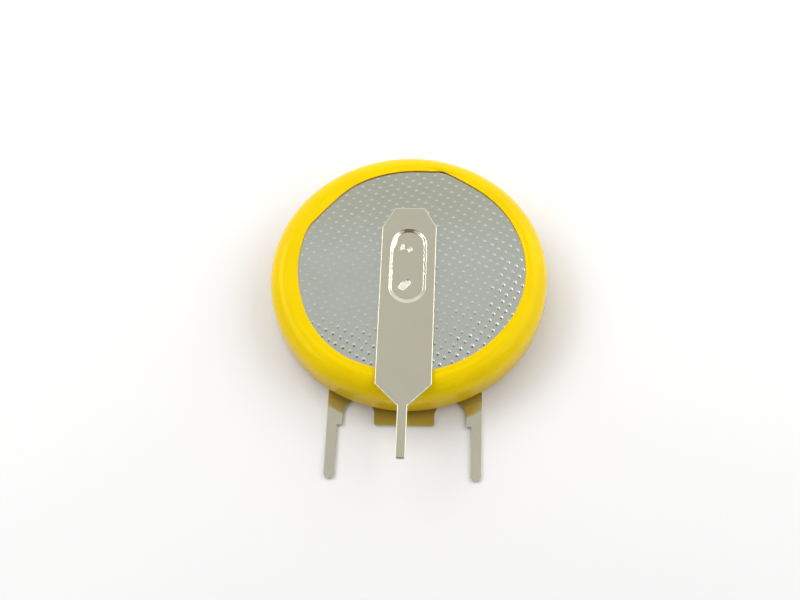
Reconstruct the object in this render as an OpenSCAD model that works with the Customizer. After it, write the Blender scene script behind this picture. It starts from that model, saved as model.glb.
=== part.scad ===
// Lithium coin cell, 20 mm by 3.2 mm, in a shrink sleeve, with three solder pins.
// It lies flat on its positive tab with the negative side up, and its pins point along -Y.
// The origin is on the cell's axis, in the plane that the positive tab rests on.

/* [Cell] */
// Diameter of the bare cell, over the can
cell_d = 20; // [16:0.1:24.5]
// Height of the bare cell, from the can's flat bottom to the cap's top
cell_h = 3.2; // [2.8:0.1:5.4]

/* [Positive can] */
// Thickness of the can's steel
can_t = 0.25; // [0.15:0.01:0.3]
// Outer radius of the can's lower corner
can_corner_r = 0.8; // [0.4:0.05:1]
// Outer radius of the upper edge that is crimped inwards over the gasket
crimp_r = 1.1; // [0.9:0.05:1.2]
// Distance of the crimped edge's top below the cap's top
crimp_drop = 0.15; // [0.05:0.01:0.25]
// Gap that the gasket fills between the can's crimped lip and the cap's wall
crimp_gap = 0.25; // [0.15:0.01:0.4]

/* [Negative cap] */
// Thickness of the cap's steel
cap_t = 0.25; // [0.15:0.01:0.3]
// Outer radius of the cap's upper corner
cap_corner_r = 0.3; // [0.26:0.01:0.5]
// Distance that the cap's lower rim stands out beyond its upper step
cap_flare = 0.65; // [0.4:0.01:0.8]
// Height of the cap's upper step, down to the sloping shoulder
cap_step_h = 0.75; // [0.6:0.01:0.9]

/* [Gasket] */
// Thickness of the gasket between the can's wall and the cap's rim
gasket_t = 0.4; // [0.3:0.01:0.5]
// Thickness of the gasket's foot, under the cap's rim
gasket_foot_t = 0.4; // [0.3:0.01:0.5]
// Thickness of the gasket's inner lip, inside the cap's rim
gasket_lip_t = 0.35; // [0.25:0.01:0.5]
// Height of the gasket's inner lip above its foot
gasket_lip_h = 0.35; // [0.2:0.01:0.5]

/* [Cell stack] */
// Thickness of the perforated current collector on the can's floor
collector_t = 0.1; // [0.05:0.01:0.15]
// Diameter of one hole in the current collector
collector_hole_d = 1.2; // [0.6:0.1:1.4]
// Distance between neighbouring holes of the current collector
collector_pitch = 2; // [1.8:0.1:3]
// Thickness of the separator disc
separator_t = 0.15; // [0.1:0.01:0.2]
// Thickness of the lithium disc
lithium_t = 0.6; // [0.4:0.01:0.7]
// Free space round the cathode pellet, inside the gasket
pellet_clearance = 0.75; // [0.3:0.01:1]
// Free space round the separator, inside the cap's upper step
separator_clearance = 0.15; // [0.1:0.01:0.4]
// Free space round the lithium disc, inside the cap's upper step
lithium_clearance = 0.65; // [0.5:0.01:1]

/* [Shrink sleeve] */
// Thickness of the sleeve's film
film_t = 0.12; // [0.08:0.01:0.2]
// Width of the lips that the sleeve forms on the cell's two faces, measured from the can's wall
lip_w = 1.7; // [1.5:0.05:3]
// Gap between a sleeve lip and the tab that passes over it
tab_gap = 0.03; // [0.02:0.01:0.1]

/* [Tabs] */
// Thickness of the tabs' sheet metal
tab_t = 0.2; // [0.15:0.01:0.3]
// Width of a tab's strip across the cell
strip_w = 4; // [3.6:0.1:5]
// Distance from the cell's axis to the strip's far end
strip_end = 5; // [4.6:0.1:6]
// Width of the strip's end between its two chamfers
strip_tip_w = 2.24; // [1.5:0.01:3]
// Length of the chamfers at the strip's end, along the strip
strip_chamfer = 1.62; // [0.6:0.01:2]
// Distance from the cell's axis to the shoulders that stand on the circuit board
seat_y = 10.9; // [10.6:0.1:13]
// Distance from the cell's axis to the neck where the negative strip has narrowed to its pin
neck_y = 11; // [10.6:0.1:13]
// Distance from the cell's axis to the tips of the pins
pin_tip_y = 15; // [14.6:0.1:17]
// Width of the pins
pin_w = 0.72; // [0.5:0.01:1]
// Corner radius of the negative pin's tip
negative_tip_r = 0.2; // [0.05:0.01:0.24]

/* [Positive tab] */
// Distance between the two positive pins, centre to centre
pin_pitch = 10.3; // [9:0.01:12.7]
// Width of the legs that end in the positive pins
leg_w = 1.08; // [1:0.01:1.2]
// Height of the tab's wide bar at its outer edges, from the shoulders upwards
bar_h = 3.5; // [2.8:0.1:4.5]
// Width of the stub between the legs
stub_w = 4.3; // [3.8:0.01:5]
// Depth of the two slots beside the stub, from the shoulders to their round ends
slot_depth = 1.94; // [1.6:0.01:2.4]
// Corner radius of the stub's end
stub_r = 0.15; // [0.05:0.01:0.4]

/* [Weld dimple] */
// Width of the long round-ended dimple that is pressed down to the cell
dimple_w = 2.7; // [2.2:0.01:3.2]
// Length of the dimple over its round ends
dimple_l = 6.2; // [5:0.01:7]
// Width of the dimple's sloping wall
dimple_wall = 0.26; // [0.2:0.01:0.4]
// Distance from the cell's axis to the dimple's centre, towards the strip's end
dimple_y = 0.1; // [0:0.01:0.5]
// Distance between the two spot welds
weld_pitch = 3.1; // [2:0.01:3.2]
// Diameter of a spot weld's pit
weld_d = 0.65; // [0.4:0.01:0.9]
// Depth of a spot weld's pit
weld_depth = 0.08; // [0.04:0.01:0.09]

/* [Hidden] */
$fn = 96;

// Overlap that cutting shapes get past the face they cut, so that no skin stays
cut = 1;

// Radii of the can, the cap and the gasket
can_r = cell_d / 2;
can_inner_r = can_r - can_t;
rim_r = can_inner_r - gasket_t;
rim_inner_r = rim_r - cap_t;
step_r = rim_r - cap_flare;
step_inner_r = step_r - cap_t;
mouth_r = step_r + crimp_gap;
gasket_inner_r = rim_inner_r - gasket_lip_t;
lip_r = can_r - lip_w;

// Heights inside the cell, counted from the can's outer bottom
can_h = cell_h - crimp_drop;
rim_z = can_t + gasket_foot_t;
shoulder_z = cell_h - cap_step_h;
collector_z = can_t;
pellet_z = collector_z + collector_t;
lithium_z = cell_h - cap_t - lithium_t;
separator_z = lithium_z - separator_t;
pellet_t = separator_z - pellet_z;
gasket_top_z = can_h - can_t / 2;

// Radii of the discs in the cell
pellet_r = gasket_inner_r - pellet_clearance;
separator_r = step_inner_r - separator_clearance;
lithium_r = step_inner_r - lithium_clearance;

// Depth of the dimple, which carries the tab's welded face past the sleeve's lip
dimple_depth = film_t + tab_gap;
// Height of the can's bottom and of the negative tab's underside above the resting plane
cell_z = tab_t + dimple_depth;
negative_tab_z = cell_z + cell_h + dimple_depth;
// Half the width over the positive legs
bar_half_w = (pin_pitch + pin_w) / 2;

// Rectangle between two opposite corners
module square_from(low, high) {
    translate(low) square(high - low);
}

// Half section of a disc of radius r and height h, with both edges rounded
module disc_profile(r, h, bottom_r, top_r) {
    difference() {
        square([r, h]);
        edge_waste(r, 0, bottom_r, 1);
        edge_waste(r, h, top_r, -1);
    }
}

// What the rounding of one edge takes away: the square corner outside the round
module edge_waste(r, edge_z, edge_r, up) {
    difference() {
        translate([r - edge_r, min(edge_z - cut * up, edge_z + edge_r * up)])
            square([edge_r + cut, edge_r + cut]);
        translate([r - edge_r, edge_z + edge_r * up]) circle(r = edge_r);
    }
}

// Half section of the space inside the can
module can_cavity_profile() {
    translate([0, can_t])
        disc_profile(can_inner_r, can_h - 2 * can_t, can_corner_r - can_t, crimp_r - can_t);
    square_from([0, can_h / 2], [mouth_r, cell_h + cut]);
}

// Half section of the cap as a filled form: flat top, upper step, sloping shoulder and lower rim
module cap_profile(r, rim, top_z, corner_r, slope_z) {
    difference() {
        polygon([
            [0, rim_z], [rim, rim_z], [rim, slope_z - (rim - r)], [r, slope_z],
            [r, top_z], [0, top_z]
        ]);
        edge_waste(r, top_z, corner_r, -1);
    }
}

// Outer form of the cap
module cap_outer_profile() {
    cap_profile(step_r, rim_r, cell_h, cap_corner_r, shoulder_z);
}

// Space under the cap, with a wall of the same thickness along the 45 degree shoulder
module cap_inner_profile() {
    shoulder_shift = cap_t * tan(22.5);
    translate([0, -cut]) square_from([0, rim_z], [rim_inner_r, rim_z + cut]);
    cap_profile(step_inner_r, rim_inner_r, cell_h - cap_t, cap_corner_r - cap_t, shoulder_z - shoulder_shift);
}

// Steel can: flat bottom, rounded corner and an upper edge crimped inwards
module positive_can() {
    color("silver")
        translate([0, 0, cell_z])
            rotate_extrude()
                difference() {
                    disc_profile(can_r, can_h, can_corner_r, crimp_r);
                    can_cavity_profile();
                }
}

// Steel cap: a stepped cup, open downwards
module negative_cap() {
    color("lightgray")
        translate([0, 0, cell_z])
            rotate_extrude()
                difference() {
                    cap_outer_profile();
                    cap_inner_profile();
                }
}

// Half section of the gasket: the space between can and cap, and a lip inside the cap's rim
module gasket_profile() {
    difference() {
        intersection() {
            can_cavity_profile();
            square_from([gasket_inner_r, 0], [can_r, gasket_top_z]);
        }
        cap_outer_profile();
    }
    square_from([gasket_inner_r, rim_z], [rim_inner_r, rim_z + gasket_lip_h]);
}

// Moulded gasket: it seals and insulates the cap in the can, and holds the cap's rim in a groove
module gasket() {
    color("whitesmoke")
        translate([0, 0, cell_z]) rotate_extrude() gasket_profile();
}

// Perforated disc on the can's floor, under the cathode
module current_collector() {
    rows = floor((pellet_r - collector_hole_d) / collector_pitch);
    color("darkgray")
        translate([0, 0, cell_z + collector_z])
            difference() {
                cylinder(h = collector_t, r = pellet_r);
                for (column = [-rows:rows], row = [-rows:rows])
                    if (norm([column, row]) * collector_pitch + collector_hole_d < pellet_r)
                        translate([column * collector_pitch, row * collector_pitch, -cut])
                            cylinder(h = collector_t + 2 * cut, d = collector_hole_d);
            }
}

// Pressed manganese dioxide pellet
module cathode_pellet() {
    color("dimgray")
        translate([0, 0, cell_z + pellet_z]) cylinder(h = pellet_t, r = pellet_r);
}

// Fleece disc between the electrodes
module separator() {
    color("white")
        translate([0, 0, cell_z + separator_z]) cylinder(h = separator_t, r = separator_r);
}

// Lithium disc pressed against the cap
module lithium_anode() {
    color("lightsteelblue")
        translate([0, 0, cell_z + lithium_z]) cylinder(h = lithium_t, r = lithium_r);
}

// Shrink sleeve: a film round the cell, with a lip on each face
module sleeve() {
    color("gold")
        translate([0, 0, cell_z])
            rotate_extrude()
                difference() {
                    translate([0, -film_t])
                        disc_profile(
                            can_r + film_t, cell_h + 2 * film_t, can_corner_r + film_t, crimp_r + film_t
                        );
                    disc_profile(can_r, cell_h, can_corner_r, crimp_r);
                    square_from([0, -film_t - cut], [lip_r, cell_h + film_t + cut]);
                }
}

// Flat strip of width w from y = low to y = high, with rounded corners at its lower end
module strip(w, low, high, corner_r) {
    difference() {
        square_from([-w / 2, low], [w / 2, high]);
        edge_waste(w / 2, low, corner_r, 1);
        mirror([1, 0]) edge_waste(w / 2, low, corner_r, 1);
    }
}

// Outline of the strip's end beyond the cell's axis, and of its run down to y = low
module strip_end_outline(low) {
    polygon([
        [-strip_w / 2, low], [strip_w / 2, low],
        [strip_w / 2, strip_end - strip_chamfer], [strip_tip_w / 2, strip_end],
        [-strip_tip_w / 2, strip_end], [-strip_w / 2, strip_end - strip_chamfer]
    ]);
}

// Outline of the negative tab: the strip runs in to the pin at 45 degrees
module negative_outline() {
    taper_y = -neck_y + (strip_w - pin_w) / 2;
    strip_end_outline(taper_y);
    polygon([
        [-strip_w / 2, taper_y], [-pin_w / 2, -neck_y], [pin_w / 2, -neck_y], [strip_w / 2, taper_y]
    ]);
    strip(pin_w, -pin_tip_y, taper_y, negative_tip_r);
}

// Outline of the positive tab: strip, wide bar, two legs with pins, and a stub between two slots
module positive_outline() {
    bar_y = -seat_y + bar_h;
    slope = bar_half_w - strip_w / 2;
    strip_end_outline(bar_y);
    difference() {
        polygon([
            [-bar_half_w, -seat_y], [bar_half_w, -seat_y], [bar_half_w, bar_y],
            [strip_w / 2, bar_y + slope], [-strip_w / 2, bar_y + slope], [-bar_half_w, bar_y]
        ]);
        space_between_legs();
    }
    strip(stub_w, -seat_y, -seat_y + slot_depth, stub_r);
    for (side = [-1, 1])
        translate([side * pin_pitch / 2, 0]) strip(pin_w, -pin_tip_y, -seat_y + leg_w, pin_w / 2);
}

// Space between the legs, which the stub then parts into two slots with round upper ends
module space_between_legs() {
    half_w = bar_half_w - leg_w;
    slot_r = (half_w - stub_w / 2) / 2;
    round_y = -seat_y + slot_depth - slot_r;
    square_from([-half_w, -seat_y - cut], [half_w, round_y]);
    for (side = [-1, 1])
        translate([side * (half_w - slot_r), round_y]) circle(r = slot_r);
}

// Long round-ended frustum: w wide and l long at z = 0, and narrower by run on each side at z = h
module long_frustum(w, l, h, run) {
    straight = l - w;
    for (side = [-1, 1])
        translate([0, side * straight / 2, 0]) cylinder(h = h, r1 = w / 2, r2 = w / 2 - run);
    translate([0, straight / 2, 0])
        rotate([90, 0, 0])
            linear_extrude(straight)
                polygon([[-w / 2, 0], [w / 2, 0], [w / 2 - run, h], [-w / 2 + run, h]]);
}

// Sheet-metal tab with its welded face down: the dimple is pressed down by its depth
module pressed_tab() {
    // The wall keeps the sheet's thickness, so its lower side lies further out than its upper side
    wall_shift = tab_t * tan(atan2(dimple_depth, dimple_wall) / 2);
    floor_z = tab_t - dimple_depth;
    pit_r = (weld_d * weld_d / 4 + weld_depth * weld_depth) / (2 * weld_depth);
    difference() {
        union() {
            linear_extrude(tab_t) children();
            translate([0, dimple_y, 0])
                mirror([0, 0, 1])
                    long_frustum(
                        dimple_w + 2 * wall_shift, dimple_l + 2 * wall_shift, dimple_depth, dimple_wall
                    );
        }
        translate([0, dimple_y, tab_t])
            mirror([0, 0, 1])
                long_frustum(dimple_w, dimple_l, dimple_depth, dimple_wall);
        for (side = [-1, 1])
            translate([0, dimple_y + side * weld_pitch / 2, floor_z + pit_r - weld_depth]) sphere(r = pit_r);
    }
}

// Negative tab, welded to the cap, with one pin
module negative_tab() {
    color("tan")
        translate([0, 0, negative_tab_z]) pressed_tab() negative_outline();
}

// Positive tab, welded to the can's bottom, with two pins
module positive_tab() {
    color("tan")
        translate([0, 0, tab_t]) mirror([0, 0, 1]) pressed_tab() positive_outline();
}

positive_can();
negative_cap();
gasket();
current_collector();
cathode_pellet();
separator();
lithium_anode();
sleeve();
negative_tab();
positive_tab();
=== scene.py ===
import math
import random

import bpy
import numpy as np
from mathutils import Matrix, Vector
from mathutils.geometry import delaunay_2d_cdt


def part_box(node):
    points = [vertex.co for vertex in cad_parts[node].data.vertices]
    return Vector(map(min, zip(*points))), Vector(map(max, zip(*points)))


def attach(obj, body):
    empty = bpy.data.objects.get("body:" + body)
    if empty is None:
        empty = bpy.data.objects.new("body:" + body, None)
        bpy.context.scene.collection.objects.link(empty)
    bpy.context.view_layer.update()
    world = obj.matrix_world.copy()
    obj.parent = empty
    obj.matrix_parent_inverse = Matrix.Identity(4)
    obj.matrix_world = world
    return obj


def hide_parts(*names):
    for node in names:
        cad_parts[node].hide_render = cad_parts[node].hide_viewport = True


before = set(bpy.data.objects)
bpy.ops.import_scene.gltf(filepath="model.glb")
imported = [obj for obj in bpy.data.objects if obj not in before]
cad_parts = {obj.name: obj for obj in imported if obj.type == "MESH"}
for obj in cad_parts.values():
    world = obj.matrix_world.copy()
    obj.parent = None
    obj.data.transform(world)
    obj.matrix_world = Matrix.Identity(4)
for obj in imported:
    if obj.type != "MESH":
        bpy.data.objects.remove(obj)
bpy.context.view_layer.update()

scene = bpy.context.scene
MM = 0.001


def in_mm(box):
    """The lowest and highest corner of a box, from metres to millimetres."""
    return [np.array(corner) / MM for corner in box]


# Measures of the object are in millimetres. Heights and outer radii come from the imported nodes
CAP_LOW, CAP_HIGH = in_mm(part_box("negative_cap"))
SLEEVE_LOW, SLEEVE_HIGH = in_mm(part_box("sleeve"))
CAN_HIGH = in_mm(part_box("positive_can"))[1]
TOP_TAB_HIGH = in_mm(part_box("negative_tab"))[1]
LOW_TAB_LOW = in_mm(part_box("positive_tab"))[0]

# Negative cap
CAP_TOP = CAP_HIGH[2]
CAP_RIM_Z = CAP_LOW[2]
CAP_RIM_R = CAP_HIGH[0]
CAP_T = 0.25
CAP_FLARE = 0.65
CAP_STEP_H = 0.75
CAP_CORNER_R = 0.15
CAP_STEP_R = CAP_RIM_R - CAP_FLARE
CAP_FLAT_R = CAP_STEP_R - CAP_CORNER_R
CAP_COLUMNS = 192

# How much lower the inner bends of the cap's slope lie, which keeps the wall's thickness
CAP_BEND_DROP = round(CAP_T * math.tan(math.radians(22.5)), 4)

# Raised dots on the cap. Each is a bell that fades to nothing from DOT_FOOT on
DOT_PITCH = 0.6
DOT_ANGLE = math.radians(60.3)
DOT_ROWS = 15
DOT_ERROR = 0.02
DOT_H = 0.026
DOT_R = 0.17
DOT_STEEPNESS = 2.2
DOT_FOOT = 0.15
DOT_FADE = 0.07

# Rings of mesh points round a dot: radius and number of points. Wider rings are turned further
DOT_RINGS = ((0.04, 6), (0.08, 9), (0.12, 11), (0.165, 12), (0.22, 12))
RING_STEP = 0.045

# Shrink sleeve
FILM_T = 0.12
FILM_R = SLEEVE_HIGH[0]
FILM_TOP = SLEEVE_HIGH[2]
FILM_BOTTOM = SLEEVE_LOW[2]
FILM_TOP_CORNER = 1.34
FILM_BOTTOM_CORNER = 0.92
FILM_EDGE_R = 0.03
FILM_COLUMNS = 360

# Inner edge of the upper lip: angle in degrees from +X towards +Y, and radius
LIP = (
    (0, 8.51), (30, 8.48), (57, 8.43), (63, 8.47), (69, 8.58), (75, 8.74), (79, 8.56),
    (85, 8.45), (98, 8.35), (120, 8.23), (137, 8.00), (148, 8.04), (155, 8.18), (170, 8.06),
    (195, 8.00), (212, 8.16), (236, 8.34), (255, 8.27), (275, 8.35), (315, 8.38), (340, 8.49),
)

# Mean radius of the lower lip's inner edge
LOWER_LIP_R = 8.28

# Tabs
TAB_T = 0.2
STRIP_HALF = 2.0
STRIP_END = 5.0
TIP_HALF = 1.12
CHAMFER = 1.62
SEAT_Y = -10.9
NECK_Y = -11.0
PIN_END = LOW_TAB_LOW[1]
PIN_HALF = 0.36
NEGATIVE_TIP_R = 0.2
PIN_X = 5.15
BAR_HALF = PIN_X + PIN_HALF
BAR_H = 3.5
LEG_HALF = BAR_HALF - 1.08
SLOT_DEPTH = 1.94
STUB_HALF = 2.15
STUB_R = 0.15

# Die roll along the outer edge of a tab: width, height and the angles at which it gets mesh points
ROLL_W = 0.1
ROLL_H = 0.06
ROLL_ANGLES = (72, 54, 36, 18, 0)

# Dimple of the tabs. On the sheet's inner side its wall starts further out by DIMPLE_SHIFT
DIMPLE_W = 2.7
DIMPLE_L = 6.2
DIMPLE_Y = 0.1
DIMPLE_DEPTH = 0.15
DIMPLE_WALL = 0.25
DIMPLE_BEND = 0.27
DIMPLE_SHIFT = 0.054
DIMPLE_STRAIGHT = (DIMPLE_L - DIMPLE_W) / 2

# The two weld marks, as closed curves through these points, anticlockwise
UPPER_WELD = (
    (-0.61, 1.50), (-0.52, 1.48), (-0.42, 1.55), (-0.24, 1.55), (-0.08, 1.50), (-0.04, 1.36),
    (0.04, 1.29), (0.10, 1.38), (0.22, 1.40), (0.30, 1.53), (0.25, 1.64), (0.21, 1.72),
    (0.09, 1.70), (-0.02, 1.63), (-0.16, 1.64), (-0.32, 1.68), (-0.30, 1.80), (-0.35, 1.96),
    (-0.44, 1.98), (-0.51, 1.95), (-0.57, 1.74),
)
LOWER_WELD = (
    (-0.68, -1.62), (-0.48, -1.80), (-0.25, -1.86), (-0.02, -1.65), (0.24, -1.30),
    (0.22, -1.14), (0.06, -1.06), (-0.26, -1.11), (-0.45, -1.24), (-0.58, -1.45),
)
WELD_Y = 1.55

# Small pit beside the lower weld mark
PIT_X = 0.02
PIT_Y = -1.06
PIT_W = 0.17
PIT_L = 0.10
PIT_DEPTH = 0.04

# Mesh of the tabs: steps along the outlines, heights of the points on the outer wall, and a
# staggered grid at the welds that keeps clear of their outlines
TAB_STEP = 0.11
DIMPLE_STEP = 0.09
WALL_LEVELS = (-0.09, -0.14, -0.185)
GRID_STEPS = np.arange(-0.55, 0.551, 0.045)
GRID_STAGGER = 0.02
GRID_CLEAR = 0.012

# Seeds of the random and noisy traits
DOT_SEED = 11
FILM_SEED = 5
WALL_PLACE_SEED = 21
WALL_WIDTH_SEED = 22
ROLL_SEED = 23

# Floor, shade card and the camera's place are in metres, its lens and sensor in millimetres
FLOOR_HALF = 1.5
FLOOR_Z = -0.00002
SHADE_WEST = -0.057
SHADE_EAST = 0.050
SHADE_SOUTH = -0.12
SHADE_NORTH = 0.019
SHADE_Z = 0.109
CAMERA_LENS = 72.174
CAMERA_SENSOR = 36
CAMERA_PLACE = (0.005033, -0.057499, 0.104573)
CAMERA_RIGHT = (0.9987, 0.03833, -0.03372)
CAMERA_DOWN = (0.01754, -0.87797, -0.47839)
CAMERA_AHEAD = (-0.04794, 0.47717, -0.8775)

# Changes of the surrounding light along one axis of its direction: axis, start and end of the
# change, share before it and share after it
SKY_CHANGES = (
    ("Z", 0.71, 0.82, 0.93, 0.64),
    ("Y", -0.3, -0.85, 1.0, 0.45),
    ("X", -0.7, -0.95, 1.0, 0.6),
    ("X", 0.62, 0.8, 1.0, 1.6),
    ("Y", 0.56, 0.95, 1.0, 1.15),
    ("Z", 0.0, 0.15, 0.68, 1.0),
)


# Outlines and meshes

def add_piece(name, verts, faces, material, node, sharp_deg):
    """A mesh piece, given in millimetres, that replaces a node and rides on the body."""
    mesh = bpy.data.meshes.new(name)
    mesh.from_pydata([Vector(v) * MM for v in verts], [], faces)
    mesh.validate()
    mesh.shade_smooth()
    mesh.set_sharp_from_angle(angle=math.radians(sharp_deg))
    mesh.materials.append(material)
    piece = bpy.data.objects.new(name, mesh)
    scene.collection.objects.link(piece)
    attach(piece, "root")
    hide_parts(node)
    return piece


def paint_faces(piece, numbers, material):
    """Gives the faces with these numbers a second material."""
    piece.data.materials.append(material)
    for number in numbers:
        piece.data.polygons[int(number)].material_index = 1


def wall_faces(rings):
    """Faces that join each ring of point numbers to the next."""
    faces = []
    for above, below in zip(rings, rings[1:]):
        for i in range(len(above)):
            k = (i + 1) % len(above)
            faces.append([above[i], below[i], below[k], above[k]])
    return faces


def arc(centre, radius, start_deg, end_deg, steps):
    """Points of an arc, both ends included."""
    angles = np.radians(np.linspace(start_deg, end_deg, steps + 1))
    return [(centre[0] + radius * math.cos(a), centre[1] + radius * math.sin(a)) for a in angles]


def circle(radius, count, centre=(0, 0), start=0.0):
    """Points of a circle, anticlockwise."""
    angles = [start + math.tau * k / count for k in range(count)]
    return [(centre[0] + radius * math.cos(a), centre[1] + radius * math.sin(a)) for a in angles]


def between(start, end, parts):
    """Points that divide a straight run into equal parts, without its ends."""
    start, end = np.array(start), np.array(end)
    return [tuple(start + (end - start) * k / parts) for k in range(1, parts)]


def smooth(t):
    """From 0 to 1 with a soft start and end, for t from 0 to 1."""
    t = np.clip(t, 0, 1)
    return t * t * (3 - 2 * t)


def spot(x, y, centre, reach):
    """1 at the centre, falling off round it like a bell."""
    return np.exp(-((x - centre[0]) ** 2 + (y - centre[1]) ** 2) / reach ** 2)


def value_noise(x, y, seed):
    """Smooth noise from -1 to 1, as the mean of a few waves."""
    rng = random.Random(seed)
    waves = 6
    total = np.zeros(np.shape(x))
    for _ in range(waves):
        angle, wave, phase = rng.uniform(0, math.tau), rng.uniform(0.6, 1.8), rng.uniform(0, math.tau)
        total += np.sin(wave * (x * math.cos(angle) + y * math.sin(angle)) + phase)
    return total / waves


def roughened(x, y, seed):
    """Short-waved noise from -1 to 1."""
    closeness = 15
    return value_noise(x * closeness, y * closeness, seed)


class Layer:
    """Points and closed loops of edges that are triangulated inside one of the loops."""

    def __init__(self):
        self.points = []
        self.edges = []

    def loop(self, points):
        """Adds a closed loop and gives the numbers of its points."""
        first = len(self.points)
        count = len(points)
        self.points += [tuple(p) for p in points]
        self.edges += [(first + i, first + (i + 1) % count) for i in range(count)]
        return list(range(first, first + count))

    def scatter(self, points):
        """Adds single points."""
        self.points += [tuple(p) for p in points]

    def triangulate(self, outline):
        """Points and triangles inside the outline, and where the outline's points are now."""
        points = [Vector(p) for p in self.points]
        result = delaunay_2d_cdt(points, self.edges, [outline], 1, 1e-6)
        verts, faces, sources = result[0], result[2], result[3]
        where = {source: i for i, group in enumerate(sources) for source in group}
        flat = np.array([(v.x, v.y) for v in verts])
        return flat, [list(f) for f in faces], [where[i] for i in outline]


def offset_loop(points, distance):
    """The closed outline, anticlockwise, moved inwards with mitred corners."""
    p = np.array(points, float)
    ahead = np.roll(p, -1, 0) - p
    ahead /= np.linalg.norm(ahead, axis=1)[:, None]
    inward = np.stack([-ahead[:, 1], ahead[:, 0]], 1)
    before = np.roll(inward, 1, 0)
    mitre = (inward + before) / (1 + (inward * before).sum(1))[:, None]
    return p + mitre * distance


def resample(corners, step):
    """The closed outline with extra points on its long sides."""
    dense = []
    for a, b in zip(corners, corners[1:] + corners[:1]):
        a, b = np.array(a, float), np.array(b, float)
        parts = max(1, math.ceil(np.linalg.norm(b - a) / step))
        dense += [tuple(a + (b - a) * i / parts) for i in range(parts)]
    return dense


def curve_through(points, parts):
    """Closed smooth curve through the points, with each stretch in so many parts."""
    p = np.array(points, float)
    before, after, beyond = np.roll(p, 1, 0), np.roll(p, -1, 0), np.roll(p, -2, 0)
    found = []
    for i in range(len(p)):
        slope = after[i] - before[i]
        bend = 2 * before[i] - 5 * p[i] + 4 * after[i] - beyond[i]
        twist = 3 * (p[i] - after[i]) + beyond[i] - before[i]
        for t in [k / parts for k in range(parts)]:
            found.append(tuple(p[i] + 0.5 * t * (slope + t * (bend + t * twist))))
    return found


def distance_to_outline(points, outline):
    """Distance of each point to the closed outline."""
    a = np.array(outline, float)
    side = np.roll(a, -1, 0) - a
    best = np.full(len(points), np.inf)
    for start, run in zip(a, side):
        away = points - start
        t = np.clip((away @ run) / (run @ run), 0, 1)
        best = np.minimum(best, np.linalg.norm(away - t[:, None] * run, axis=1))
    return best


def is_inside(points, outline):
    """Which points lie inside the closed outline."""
    x, y = points[:, 0], points[:, 1]
    found = np.zeros(len(points), bool)
    for (x0, y0), (x1, y1) in zip(outline, outline[1:] + outline[:1]):
        if y0 != y1:
            crosses = (y0 > y) != (y1 > y)
            found ^= crosses & (x < (x1 - x0) * (y - y0) / (y1 - y0) + x0)
    return found


# Materials

def new_material(name, color, metallic, roughness, ior=1.45):
    """A material, its node tree and its shader."""
    mat = bpy.data.materials.new(name)
    mat.use_nodes = True
    shader = mat.node_tree.nodes["Principled BSDF"]
    shader.inputs["Base Color"].default_value = (*color, 1)
    shader.inputs["Metallic"].default_value = metallic
    shader.inputs["Roughness"].default_value = roughness
    shader.inputs["IOR"].default_value = ior
    return mat, mat.node_tree, shader


def coordinates(tree, scale=(1, 1, 1)):
    """Object coordinates, in metres, times the scale."""
    source = tree.nodes.new("ShaderNodeTexCoord")
    mapping = tree.nodes.new("ShaderNodeMapping")
    mapping.inputs["Scale"].default_value = scale
    tree.links.new(source.outputs["Object"], mapping.inputs["Vector"])
    return mapping.outputs["Vector"]


def split_axes(tree, vector):
    """The X, Y and Z outputs of a vector."""
    node = tree.nodes.new("ShaderNodeSeparateXYZ")
    tree.links.new(vector, node.inputs["Vector"])
    return node.outputs


def noise(tree, vector, scale, detail=3.0):
    """Noise with so many waves a metre."""
    node = tree.nodes.new("ShaderNodeTexNoise")
    node.inputs["Scale"].default_value = scale
    node.inputs["Detail"].default_value = detail
    node.inputs["Roughness"].default_value = 0.55
    tree.links.new(vector, node.inputs["Vector"])
    return node.outputs["Fac"]


def spread(tree, value, low, high, to_low, to_high):
    """The value moved from one range to another, and held at the range's ends."""
    node = tree.nodes.new("ShaderNodeMapRange")
    node.inputs["From Min"].default_value = low
    node.inputs["From Max"].default_value = high
    node.inputs["To Min"].default_value = to_low
    node.inputs["To Max"].default_value = to_high
    tree.links.new(value, node.inputs["Value"])
    return node.outputs["Result"]


def math_node(tree, operation, first, second):
    """The sum or product of two values, each a number or a socket."""
    node = tree.nodes.new("ShaderNodeMath")
    node.operation = operation
    for socket, value in zip(node.inputs, (first, second)):
        if isinstance(value, (int, float)):
            socket.default_value = value
        else:
            tree.links.new(value, socket)
    return node.outputs["Value"]


def mix_colors(tree, shader, value, first, second):
    """Gives the shader a blend of two colours."""
    node = tree.nodes.new("ShaderNodeMix")
    node.data_type = "RGBA"
    tree.links.new(value, node.inputs["Factor"])
    node.inputs["A"].default_value = (*first, 1)
    node.inputs["B"].default_value = (*second, 1)
    tree.links.new(node.outputs["Result"], shader.inputs["Base Color"])


def vary_roughness(tree, shader, pattern, low, high):
    """Lets the shader's roughness follow a noise pattern."""
    tree.links.new(spread(tree, pattern, 0.3, 0.7, low, high), shader.inputs["Roughness"])


def bump(tree, shader, heights, distance):
    """Chains one bump node for each height pattern, all with the same depth in metres."""
    previous = None
    for value in heights:
        node = tree.nodes.new("ShaderNodeBump")
        node.inputs["Strength"].default_value = 1.0
        node.inputs["Distance"].default_value = distance
        tree.links.new(value, node.inputs["Height"])
        if previous:
            tree.links.new(previous, node.inputs["Normal"])
        previous = node.outputs["Normal"]
    tree.links.new(previous, shader.inputs["Normal"])


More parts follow.
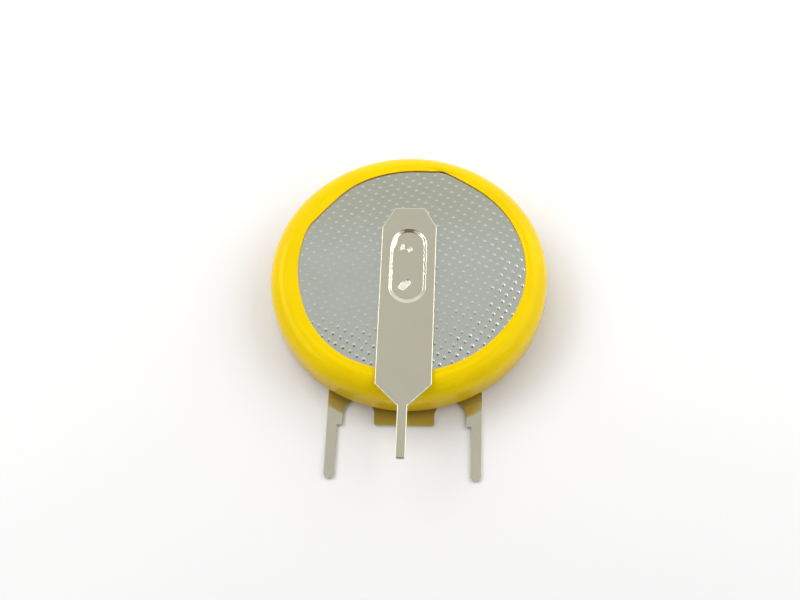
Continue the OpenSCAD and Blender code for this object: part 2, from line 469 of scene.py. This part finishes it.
def steel(name, first, second, rough_low, rough_high, grain, metallic=1.0, painted_reflection=False):
    """Metal with soft patches, fine rolling lines along Y and small unevenness.

    When asked for by the last argument, its colour also goes over from the first to the second towards
    +Y: a painted reflection, darker and warmer towards the back.
    """
    mat, tree, shader = new_material(name, first, metallic, rough_low)
    even = coordinates(tree)
    rolled = coordinates(tree, (1, 0.04, 1))
    blend = spread(tree, noise(tree, even, 260), 0.35, 0.65, 0, 1)
    if painted_reflection:
        # Painted reflection: the metal's colour goes darker and warmer towards +Y
        painted_back_reflection = spread(tree, split_axes(tree, even)["Y"], 0.001, 0.006, 0, 0.75)
        blend = math_node(tree, "ADD", painted_back_reflection, math_node(tree, "MULTIPLY", blend, 0.25))
    mix_colors(tree, shader, blend, first, second)
    vary_roughness(tree, shader, noise(tree, even, 900, 4), rough_low, rough_high)
    bump(tree, shader, [noise(tree, rolled, 9000, 2), noise(tree, even, 1300, 3)], grain)
    return mat


def plain_material(name, first, second, metallic, roughness, scale, grain):
    """Material in two blended tones, with noise of so many waves a metre."""
    mat, tree, shader = new_material(name, first, metallic, roughness)
    even = coordinates(tree)
    mix_colors(tree, shader, spread(tree, noise(tree, even, scale), 0.3, 0.7, 0, 1), first, second)
    vary_roughness(tree, shader, noise(tree, even, scale * 2, 4), roughness - 0.06, roughness + 0.06)
    bump(tree, shader, [noise(tree, even, scale * 4, 4)], grain)
    return mat


def film_material():
    """Glossy yellow film with a yellow gloss, and painted shade: darker and browner towards the floor."""
    painted_shade_tone = (0.48, 0.288, 0.006)
    upper_tone = (0.80, 0.572, 0.001)
    mat, tree, shader = new_material("sleeve_yellow", upper_tone, 0.0, 0.06, 1.48)
    shader.inputs["Specular Tint"].default_value = (1.0, 0.82, 0.15, 1)
    shader.inputs["Specular IOR Level"].default_value = 0.3
    even = coordinates(tree)
    # Painted shade: the colour goes darker and browner towards the floor, standing in for the shade under
    # the sleeve's lower corner
    upper = spread(tree, split_axes(tree, even)["Z"], 0.0003, 0.0028, 0.0, 0.8)
    patches = spread(tree, noise(tree, even, 220), 0.3, 0.7, 0.0, 0.2)
    mix_colors(tree, shader, math_node(tree, "ADD", upper, patches), painted_shade_tone, upper_tone)
    vary_roughness(tree, shader, noise(tree, even, 1500, 4), 0.06, 0.12)
    bump(tree, shader, [noise(tree, even, 420, 2), noise(tree, even, 3000, 3)], 0.000002)
    return mat


# Two tones, then for steel the lowest and highest roughness and the depth of the grain in metres
# The cap's steel has a painted reflection, darker and warmer towards +Y; its soft patches are the steel's
# own tone
cap_steel = steel(
    "cap_satin_steel", (0.635, 0.66, 0.60), (0.565, 0.582, 0.47), 0.09, 0.14, 0.0000006, 0.94, True
)
tab_metal = steel("tab_nickel", (0.69, 0.665, 0.51), (0.67, 0.65, 0.51), 0.09, 0.14, 0.0000005, 0.93)
can_steel = steel("can_bright_steel", (0.66, 0.67, 0.67), (0.62, 0.63, 0.64), 0.2, 0.3, 0.0000015)
collector_steel = steel("collector_mesh_steel", (0.6, 0.6, 0.6), (0.55, 0.55, 0.56), 0.3, 0.4, 0.000002)
sleeve_film = film_material()

# Two tones, how metallic it is, roughness, waves a metre and depth of the grain in metres
weld_frost = plain_material(
    "weld_frost", (0.99, 0.98, 0.92), (0.80, 0.77, 0.66), 1.0, 0.5, 5500, 0.000012
)
# The film's cut edge is painted darker orange-brown: mostly painted shade of the thin gap at the lip,
# partly the film's own deeper tone at its cut
film_edge_painted_shade = plain_material(
    "sleeve_cut_edge_painted_shade", (0.62, 0.29, 0.006), (0.70, 0.36, 0.006), 0.0, 0.4, 900, 0.000002
)
gasket_plastic = plain_material(
    "gasket_polymer", (0.86, 0.86, 0.82), (0.8, 0.8, 0.76), 0.0, 0.5, 500, 0.000004
)
cathode_powder = plain_material(
    "cathode_black", (0.05, 0.05, 0.055), (0.09, 0.09, 0.095), 0.0, 0.85, 2500, 0.00001
)
separator_fleece = plain_material(
    "separator_white", (0.9, 0.9, 0.88), (0.82, 0.82, 0.8), 0.0, 0.9, 3000, 0.00001
)
lithium_metal = plain_material(
    "lithium_soft", (0.74, 0.75, 0.78), (0.62, 0.63, 0.67), 1.0, 0.4, 700, 0.000006
)


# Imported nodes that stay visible

def dress_node(node, material):
    """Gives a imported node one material."""
    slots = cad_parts[node].data.materials
    if not slots:
        slots.append(material)
    for index in range(len(slots)):
        slots[index] = material


dress_node("positive_can", can_steel)
dress_node("gasket", gasket_plastic)
dress_node("current_collector", collector_steel)
dress_node("cathode_pellet", cathode_powder)
dress_node("separator", separator_fleece)
dress_node("lithium_anode", lithium_metal)


# Negative cap

def lip_radius(turn):
    """Inner radius of the upper lip at an angle in radians: a smooth curve through the points of LIP."""
    angle = math.degrees(turn) % 360
    i = max(k for k, (start, _) in enumerate(LIP) if start <= angle)
    (a0, r0), (a1, r1), (a2, r2), (a3, r3) = [LIP[(i + k) % len(LIP)] for k in (-1, 0, 1, 2)]
    span = (a2 - a1) % 360
    t = (angle - a1) / span
    leave = (r2 - r0) / ((a2 - a0) % 360) * span
    arrive = (r3 - r1) / ((a3 - a1) % 360) * span
    bend = 3 * (r2 - r1) - 2 * leave - arrive
    twist = 2 * (r1 - r2) + leave + arrive
    return r1 + t * (leave + t * (bend + t * twist))


def press_share(x, y):
    """How strongly dots are pressed: less in the left half, more along the lower right edge."""
    less = 0.42 * spot(x, y, (-4.7, -0.6), 3.8)
    outwards = smooth((math.hypot(x, y) - 5.5) / 2.5)
    downwards = smooth((0.3 * x - y - 0.5) / 4)
    return 1 - less + 0.55 * outwards * downwards


def dot_centres():
    """Places and strengths of the raised dots: a square grid, turned, with small errors."""
    rng = random.Random(DOT_SEED)
    along = np.array([math.cos(DOT_ANGLE), math.sin(DOT_ANGLE)])
    across = np.array([-along[1], along[0]])
    rows = range(-DOT_ROWS, DOT_ROWS + 1)
    lip_margin = 0.1
    found = []
    for i, j in [(i, j) for i in rows for j in rows]:
        shift = np.array([rng.gauss(0, DOT_ERROR), rng.gauss(0, DOT_ERROR)])
        x, y = DOT_PITCH * (i * along + j * across) + shift
        strength = rng.uniform(0.72, 1.05) * press_share(x, y)
        dimple_away = math.hypot(x, max(abs(y - DIMPLE_Y) - DIMPLE_STRAIGHT, 0))
        edge_r = lip_radius(math.atan2(y, x)) + lip_margin
        if math.hypot(x, y) < edge_r and dimple_away > DIMPLE_W / 2:
            found.append((x, y, strength))
    return found


def top_heights(flat, dots):
    """How far each point of the cap's top is raised. The dots end under the sleeve's lip."""
    height = np.zeros(len(flat))
    for x, y, strength in dots:
        away = np.hypot(flat[:, 0] - x, flat[:, 1] - y)
        near = away < DOT_FOOT + DOT_FADE
        bell = DOT_H * np.exp(-((away[near] / DOT_R) ** 2) * DOT_STEEPNESS)
        fade = 1 - smooth((away[near] - DOT_FOOT) / DOT_FADE)
        height[near] = np.maximum(height[near], strength * bell * fade)
    fade_start, fade_w = 0.02, 0.05
    edge_r = np.array([lip_radius(math.atan2(y, x)) for x, y in flat])
    past_edge = np.hypot(flat[:, 0], flat[:, 1]) - edge_r
    return height * (1 - smooth((past_edge + fade_start) / fade_w))


def cap_section():
    """Half section of the cap below its flat top: down its outer side and up its inner side."""
    shoulder = CAP_TOP - CAP_STEP_H
    section = arc((CAP_FLAT_R, CAP_TOP - CAP_CORNER_R), CAP_CORNER_R, 90, 0, 8)[1:]
    section += [
        (CAP_STEP_R, shoulder),
        (CAP_RIM_R, shoulder - CAP_FLARE),
        (CAP_RIM_R, CAP_RIM_Z),
        (CAP_RIM_R - CAP_T, CAP_RIM_Z),
        (CAP_RIM_R - CAP_T, shoulder - CAP_FLARE - CAP_BEND_DROP),
        (CAP_STEP_R - CAP_T, shoulder - CAP_BEND_DROP),
        (CAP_STEP_R - CAP_T, CAP_TOP - CAP_T),
    ]
    return section


def cap_layer(dots):
    """Flat mesh of the cap's top, fine at the dots."""
    edge_margin = 0.02
    layer = Layer()
    outline = layer.loop(circle(CAP_FLAT_R, CAP_COLUMNS))
    for x, y, _ in dots:
        layer.scatter([(x, y)])
        for radius, count in DOT_RINGS:
            around = circle(radius, count, (x, y), 0.5 * radius / RING_STEP)
            layer.scatter([p for p in around if math.hypot(*p) < CAP_FLAT_R - edge_margin])
    return layer.triangulate(outline)


def build_cap():
    """The cap with its raised dots as real shape."""
    dots = dot_centres()
    flat, faces, edge = cap_layer(dots)
    verts = [(x, y, CAP_TOP + h) for (x, y), h in zip(flat, top_heights(flat, dots))]
    rings = [edge]
    for r, z in cap_section():
        rings.append(list(range(len(verts), len(verts) + CAP_COLUMNS)))
        verts += [(x, y, z) for x, y in circle(r, CAP_COLUMNS)]
    faces += wall_faces(rings)
    faces.append(rings[-1][::-1])
    add_piece("cap_dotted", verts, faces, cap_steel, "negative_cap", 40)


build_cap()


# Shrink sleeve

def lower_lip_radius(turn):
    """Inner radius of the lower lip at an angle in radians: a circle with a few waves."""
    long_waves = 0.09 * math.cos(turn + 2.1) + 0.05 * math.sin(2 * turn + 0.4)
    short_waves = 0.04 * math.cos(3 * turn + 1.3) + 0.02 * math.sin(7 * turn)
    return LOWER_LIP_R + long_waves + short_waves


def film_sag(r, turn):
    """How far the film lies below its plane.

    It sinks into a shallow valley between the cap's edge and the can's crimped edge, and where
    its lip is short it follows the cap's round edge.
    """
    valley_r, valley_w = 8.74, 0.13
    short_lip_r, short_lip_fade = 8.45, 0.15
    edge_end_r, edge_end_fade = 8.6, 0.2
    valley = 0.009 + 0.009 * math.cos(turn + 0.9) + 0.004 * math.sin(5 * turn + 1)
    short = 0.6 * float(smooth((lip_radius(turn) - short_lip_r) / short_lip_fade))
    past_flat = max(r - CAP_FLAT_R, 0)
    round_edge = CAP_CORNER_R - math.sqrt(max(CAP_CORNER_R ** 2 - past_flat ** 2, 0))
    fade = math.exp(-((max(r - edge_end_r, 0) / edge_end_fade) ** 2))
    return valley * math.exp(-(((r - valley_r) / valley_w) ** 2)) + short * round_edge * fade


def film_section(turn):
    """The film's section at an angle: its outer side from the upper lip down, and its inner side."""
    upper = lip_radius(turn) + FILM_EDGE_R
    lower = lower_lip_radius(turn) + FILM_EDGE_R
    top_centre = (FILM_R - FILM_TOP_CORNER, FILM_TOP - FILM_TOP_CORNER)
    low_centre = (FILM_R - FILM_BOTTOM_CORNER, FILM_BOTTOM + FILM_BOTTOM_CORNER)
    outer = arc((upper, FILM_TOP - FILM_EDGE_R), FILM_EDGE_R, 180, 90, 4)
    outer += between((upper, FILM_TOP), (top_centre[0], FILM_TOP), 8)
    outer += arc(top_centre, FILM_TOP_CORNER, 90, 0, 22)
    outer += between((FILM_R, top_centre[1]), (FILM_R, low_centre[1]), 6)
    outer += arc(low_centre, FILM_BOTTOM_CORNER, 0, -90, 16)
    outer += between((low_centre[0], FILM_BOTTOM), (lower, FILM_BOTTOM), 4)
    outer += arc((lower, FILM_BOTTOM + FILM_EDGE_R), FILM_EDGE_R, -90, -180, 4)
    inner = arc((lower, FILM_BOTTOM + FILM_T - FILM_EDGE_R), FILM_EDGE_R, 180, 90, 2)
    inner += arc(low_centre, FILM_BOTTOM_CORNER - FILM_T, -90, 0, 8)
    inner += arc(top_centre, FILM_TOP_CORNER - FILM_T, 0, 90, 12)
    inner += between((top_centre[0], FILM_TOP - FILM_T), (upper, FILM_TOP - FILM_T), 2)
    inner += arc((upper, FILM_TOP - FILM_T + FILM_EDGE_R), FILM_EDGE_R, -90, -180, 2)
    return outer, inner


def film_hollow(turn, z):
    """How far the film's side lies inside its outermost radius."""
    deepest = 0.012
    closeness, rise = 4, 0.6
    pattern = value_noise(closeness * math.cos(turn), closeness * math.sin(turn) + rise * z, FILM_SEED)
    return deepest * (0.5 + 0.5 * float(pattern))


def build_sleeve():
    """The sleeve, with the cut edges of its film in their own darker material, which is mostly painted
    shade.
    """
    side_r = 9.2
    verts = []
    for c in range(FILM_COLUMNS):
        turn = math.tau * c / FILM_COLUMNS
        outer, inner = film_section(turn)
        for i, (r, z) in enumerate(outer + inner):
            if z > CAN_HIGH[2] / 2:
                z -= film_sag(r, turn)
            if i < len(outer) and r > side_r:
                r -= film_hollow(turn, z)
            verts.append((r * math.cos(turn), r * math.sin(turn), z))
    n = len(outer) + len(inner)
    faces = []
    for c in range(FILM_COLUMNS):
        a, b = c * n, ((c + 1) % FILM_COLUMNS) * n
        faces += [[a + k, a + (k + 1) % n, b + (k + 1) % n, b + k] for k in range(n)]
    piece = add_piece("sleeve_film", verts, faces, sleeve_film, "sleeve", 50)
    cut = [(lip + k) % n for lip in (0, len(outer)) for k in range(-3, 2)]
    # The faces at the cut edges get the darker material with its painted shade
    paint_faces(piece, [c * n + k for c in range(FILM_COLUMNS) for k in cut], film_edge_painted_shade)


build_sleeve()


# Tabs

def mirrored(right):
    """A closed outline, anticlockwise, from its right half listed from the top down to the bottom."""
    left = [(-x, y) for x, y in right]
    return left + right[::-1]


def strip_end():
    """Right half of the strip's chamfered end."""
    return [(TIP_HALF, STRIP_END), (STRIP_HALF, STRIP_END - CHAMFER)]


def negative_outline():
    """Strip that runs in to one pin at 45 degrees."""
    right = strip_end()
    right += [(STRIP_HALF, NECK_Y + STRIP_HALF - PIN_HALF), (PIN_HALF, NECK_Y)]
    right += arc((PIN_HALF - NEGATIVE_TIP_R, PIN_END + NEGATIVE_TIP_R), NEGATIVE_TIP_R, 0, -90, 8)
    return mirrored(right)


def positive_outline():
    """Strip, wide bar, two legs that end in pins, and a stub between two slots."""
    slot_r = (LEG_HALF - STUB_HALF) / 2
    bar_y = SEAT_Y + BAR_H
    right = strip_end()
    right += [(STRIP_HALF, bar_y + BAR_HALF - STRIP_HALF), (BAR_HALF, bar_y)]
    right += arc((PIN_X, PIN_END + PIN_HALF), PIN_HALF, 0, -180, 20)
    right += [(PIN_X - PIN_HALF, SEAT_Y), (LEG_HALF, SEAT_Y)]
    right += arc((LEG_HALF - slot_r, SEAT_Y + SLOT_DEPTH - slot_r), slot_r, 0, 180, 24)
    right += arc((STUB_HALF - STUB_R, SEAT_Y + STUB_R), STUB_R, 0, -90, 6)
    return mirrored(right)


def ramp(t):
    """From 0 to 1 with a straight middle and short bends at both ends."""
    t = np.clip(t, 0, 1)
    slope = 1 / (1 - DIMPLE_BEND)
    low = slope * t * t / (2 * DIMPLE_BEND)
    high = 1 - slope * (1 - t) ** 2 / (2 * DIMPLE_BEND)
    middle = slope * (t - DIMPLE_BEND / 2)
    return np.where(t < DIMPLE_BEND, low, np.where(t > 1 - DIMPLE_BEND, high, middle))


def dimple_distance(points):
    """Distance inside the dimple's outer edge."""
    core = np.maximum(np.abs(points[:, 1] - DIMPLE_Y) - DIMPLE_STRAIGHT, 0)
    return DIMPLE_W / 2 - np.hypot(points[:, 0], core)


def wall_share(points, flip):
    """How far down the dimple's uneven wall a point lies, from 0 to 1.

    The wall is wider at the upper left, in a small spot at the upper right and at the lower
    end. Flip is -1 for the tab that looks down, whose traits are mirrored.
    """
    x, y = points[:, 0] * flip, points[:, 1]
    straight = smooth((1.9 - np.abs(y - DIMPLE_Y)) / 0.5)
    ragged = 0.05 * straight
    uneven = ragged * roughened(points[:, 0], y, WALL_PLACE_SEED)
    wide = DIMPLE_WALL + 0.3 * spot(x, y, (-1.05, 2.1), 0.42) + 0.08 * spot(x, y, (1.1, 2.05), 0.17)
    wide += 0.14 * smooth((-1.8 - y) / 0.8) + ragged * roughened(points[:, 0], y, WALL_WIDTH_SEED)
    return (dimple_distance(points) + uneven) / wide


def obround(inset):
    """The dimple's outline, moved inwards."""
    half = DIMPLE_W / 2 - inset
    top = arc((0, DIMPLE_Y + DIMPLE_STRAIGHT), half, 0, 180, 44)
    bottom = arc((0, DIMPLE_Y - DIMPLE_STRAIGHT), half, 180, 360, 44)
    return resample(top + bottom, DIMPLE_STEP)


def weld_depth(points, patches, flip):
    """Depth of the rippled weld marks with their raised rims, and of the small pit."""
    mark_depth, ripple_depth, rim_height = 0.03, 0.007, 0.010
    depth = np.zeros(len(points))
    x, y = points[:, 0], points[:, 1]
    ripple = ripple_depth * np.sin(31 * x + 9 * y) * np.sin(27 * y - 7 * x)
    for outline in patches:
        edge = distance_to_outline(points, outline)
        mark = mark_depth * smooth(edge / 0.07) + ripple * smooth(edge / 0.04)
        rim = -rim_height * np.exp(-((edge / 0.05) ** 2))
        depth += np.where(is_inside(points, outline), mark, rim)
    away = np.hypot((x - PIT_X * flip) / PIT_W, (y - PIT_Y) / PIT_L)
    return depth + PIT_DEPTH * (1 - smooth(away))


def weld_outlines(up):
    """Smooth outlines of the two weld marks, mirrored on the tab that looks down."""
    patches = [curve_through(marks, 4) for marks in (UPPER_WELD, LOWER_WELD)]
    if up > 0:
        return patches
    return [[(-x, y) for x, y in patch][::-1] for patch in patches]


def tab_layer(dense, patches):
    """Flat mesh of a tab, fine at its edge, at the dimple's wall and at the welds."""
    layer = Layer()
    outline = layer.loop(dense)
    for degrees in ROLL_ANGLES:
        layer.loop(offset_loop(dense, ROLL_W * (1 - math.sin(math.radians(degrees)))))
    layer.loop(offset_loop(dense, ROLL_W + 0.05))
    for inset in np.arange(-0.1, 0.52, 0.03):
        layer.loop(obround(inset))
    for patch in patches:
        layer.loop(patch)
    for side in (-1, 1):
        grid = np.array([
            (x + GRID_STAGGER * (j % 2), y + DIMPLE_Y + side * WELD_Y)
            for x in GRID_STEPS for j, y in enumerate(GRID_STEPS)
        ])
        away = np.min([distance_to_outline(grid, patch) for patch in patches], axis=0)
        layer.scatter(grid[away > GRID_CLEAR])
    return layer.triangulate(outline)


def tab_heights(flat, dense, patches, up):
    """Heights of the outer and the inner face, from the plane of the outer face."""
    roll_w = ROLL_W * (0.8 + 0.2 * roughened(flat[:, 0], flat[:, 1], ROLL_SEED))
    rolled = np.clip(1 - distance_to_outline(flat, dense) / roll_w, 0, 1)
    share = wall_share(flat, up)
    outer = -ROLL_H * (1 - np.sqrt(1 - rolled ** 2)) - DIMPLE_DEPTH * ramp(share)
    outer -= weld_depth(flat, patches, up)
    inner = -TAB_T - DIMPLE_DEPTH * ramp(share + DIMPLE_SHIFT / DIMPLE_WALL)
    return outer, inner


def build_tab(name, corners, outer_z, up, node):
    """Sheet with a rolled outer edge, a pressed dimple and two weld marks.

    Its outer face looks up where up is 1, and down where up is -1, which turns all faces over.
    """
    patches = weld_outlines(up)
    dense = resample(corners, TAB_STEP)
    flat, faces, edge = tab_layer(dense, patches)
    outer, inner = tab_heights(flat, dense, patches, up)
    verts = [(x, y, outer_z + up * h) for (x, y), h in zip(flat, outer)]
    verts += [(x, y, outer_z + up * h) for (x, y), h in zip(flat, inner)]
    rings = [edge]
    for level in WALL_LEVELS:
        rings.append(list(range(len(verts), len(verts) + len(edge))))
        verts += [(flat[i][0], flat[i][1], outer_z + up * level) for i in edge]
    rings.append([len(flat) + i for i in edge])
    inner_faces = [[len(flat) + i for i in face[::-1]] for face in faces]
    all_faces = [face[::up] for face in faces + inner_faces + wall_faces(rings)]
    piece = add_piece(name, verts, all_faces, tab_metal, node, 38)
    centres = np.array([np.mean([flat[i] for i in face], 0) for face in faces])
    welded = is_inside(centres, patches[0]) | is_inside(centres, patches[1])
    paint_faces(piece, np.nonzero(welded)[0], weld_frost)


build_tab("negative_tab_sheet", negative_outline(), TOP_TAB_HIGH[2], 1, "negative_tab")
build_tab("positive_tab_sheet", positive_outline(), LOW_TAB_LOW[2], -1, "positive_tab")


# Floor, light and camera

def level_sheet(name, west, east, south, north, z, material, looks_up):
    """A level rectangle, in metres."""
    corners = [(west, south, z), (east, south, z), (east, north, z), (west, north, z)]
    face = [0, 1, 2, 3] if looks_up else [3, 2, 1, 0]
    mesh = bpy.data.meshes.new(name)
    mesh.from_pydata(corners, [], [face])
    mesh.materials.append(material)
    sheet = bpy.data.objects.new(name, mesh)
    scene.collection.objects.link(sheet)
    return sheet


def add_floor():
    """Plain pale floor."""
    mat, _, shader = new_material("floor_pale", (0.8, 0.8, 0.8), 0.0, 0.8)
    shader.inputs["Specular IOR Level"].default_value = 0.1
    floor = level_sheet("floor", -FLOOR_HALF, FLOOR_HALF, -FLOOR_HALF, FLOOR_HALF, FLOOR_Z, mat, True)


def add_shade():
    """Dark card over the camera, which the metal reflects as it would the photographer's camera."""
    mat = new_material("shade_dark", (0.17, 0.145, 0.13), 0.0, 0.7)[0]
    shade = level_sheet("shade", SHADE_WEST, SHADE_EAST, SHADE_SOUTH, SHADE_NORTH, SHADE_Z, mat, False)


def add_light(name, place, facing, width, height, radiance, mirrored_in_metal=True):
    """Soft rectangular lamp in metres; facing is the direction it shines in, and its width lies level."""
    light = bpy.data.lights.new(name, "AREA")
    light.shape = "RECTANGLE"
    light.size = width
    light.size_y = height
    light.energy = radiance * math.pi * width * height
    lamp = bpy.data.objects.new(name, light)
    scene.collection.objects.link(lamp)
    lamp.location = place
    lamp.rotation_mode = "QUATERNION"
    lamp.rotation_quaternion = Vector(facing).normalized().to_track_quat("-Z", "Y")
    lamp.visible_glossy = mirrored_in_metal


def add_world():
    """Soft white light from all round, with a share for each direction from SKY_CHANGES."""
    world = bpy.data.worlds.new("studio")
    world.use_nodes = True
    tree = world.node_tree
    source = tree.nodes.new("ShaderNodeTexCoord")
    axes = split_axes(tree, source.outputs["Generated"])
    shares = [spread(tree, axes[axis], *change) for axis, *change in SKY_CHANGES]
    strength = shares[0]
    for share in shares[1:]:
        strength = math_node(tree, "MULTIPLY", strength, share)
    background = tree.nodes["Background"]
    background.inputs["Color"].default_value = (1, 1, 1, 1)
    tree.links.new(strength, background.inputs["Strength"])
    scene.world = world


def add_camera():
    """Camera at the place and angle that were fitted to the photo."""
    camera = bpy.data.cameras.new("photo_camera")
    camera.lens = CAMERA_LENS
    camera.sensor_width = CAMERA_SENSOR
    camera.clip_start = 0.001
    camera.clip_end = 10
    holder = bpy.data.objects.new("photo_camera", camera)
    scene.collection.objects.link(holder)
    right, down, ahead = Vector(CAMERA_RIGHT), Vector(CAMERA_DOWN), Vector(CAMERA_AHEAD)
    turn = Matrix((right, -down, -ahead)).transposed().to_4x4()
    holder.matrix_world = Matrix.Translation(CAMERA_PLACE) @ turn
    scene.camera = holder


add_floor()
add_world()
add_light("key_right", (0.082, 0.045, 0.093), (-0.58, 0, -0.81), 0.17, 0.09, 1.25)
add_light("fill_left", (-0.215, 0.05, 0.19), (0.75, -0.12, -0.66), 0.30, 0.12, 2.4)
add_light("fill_top", (-0.16, 0.14, 0.35), (0.4, -0.35, -0.85), 0.30, 0.30, 2.24, False)
add_shade()
add_camera()
scene.view_settings.view_transform = "Standard"
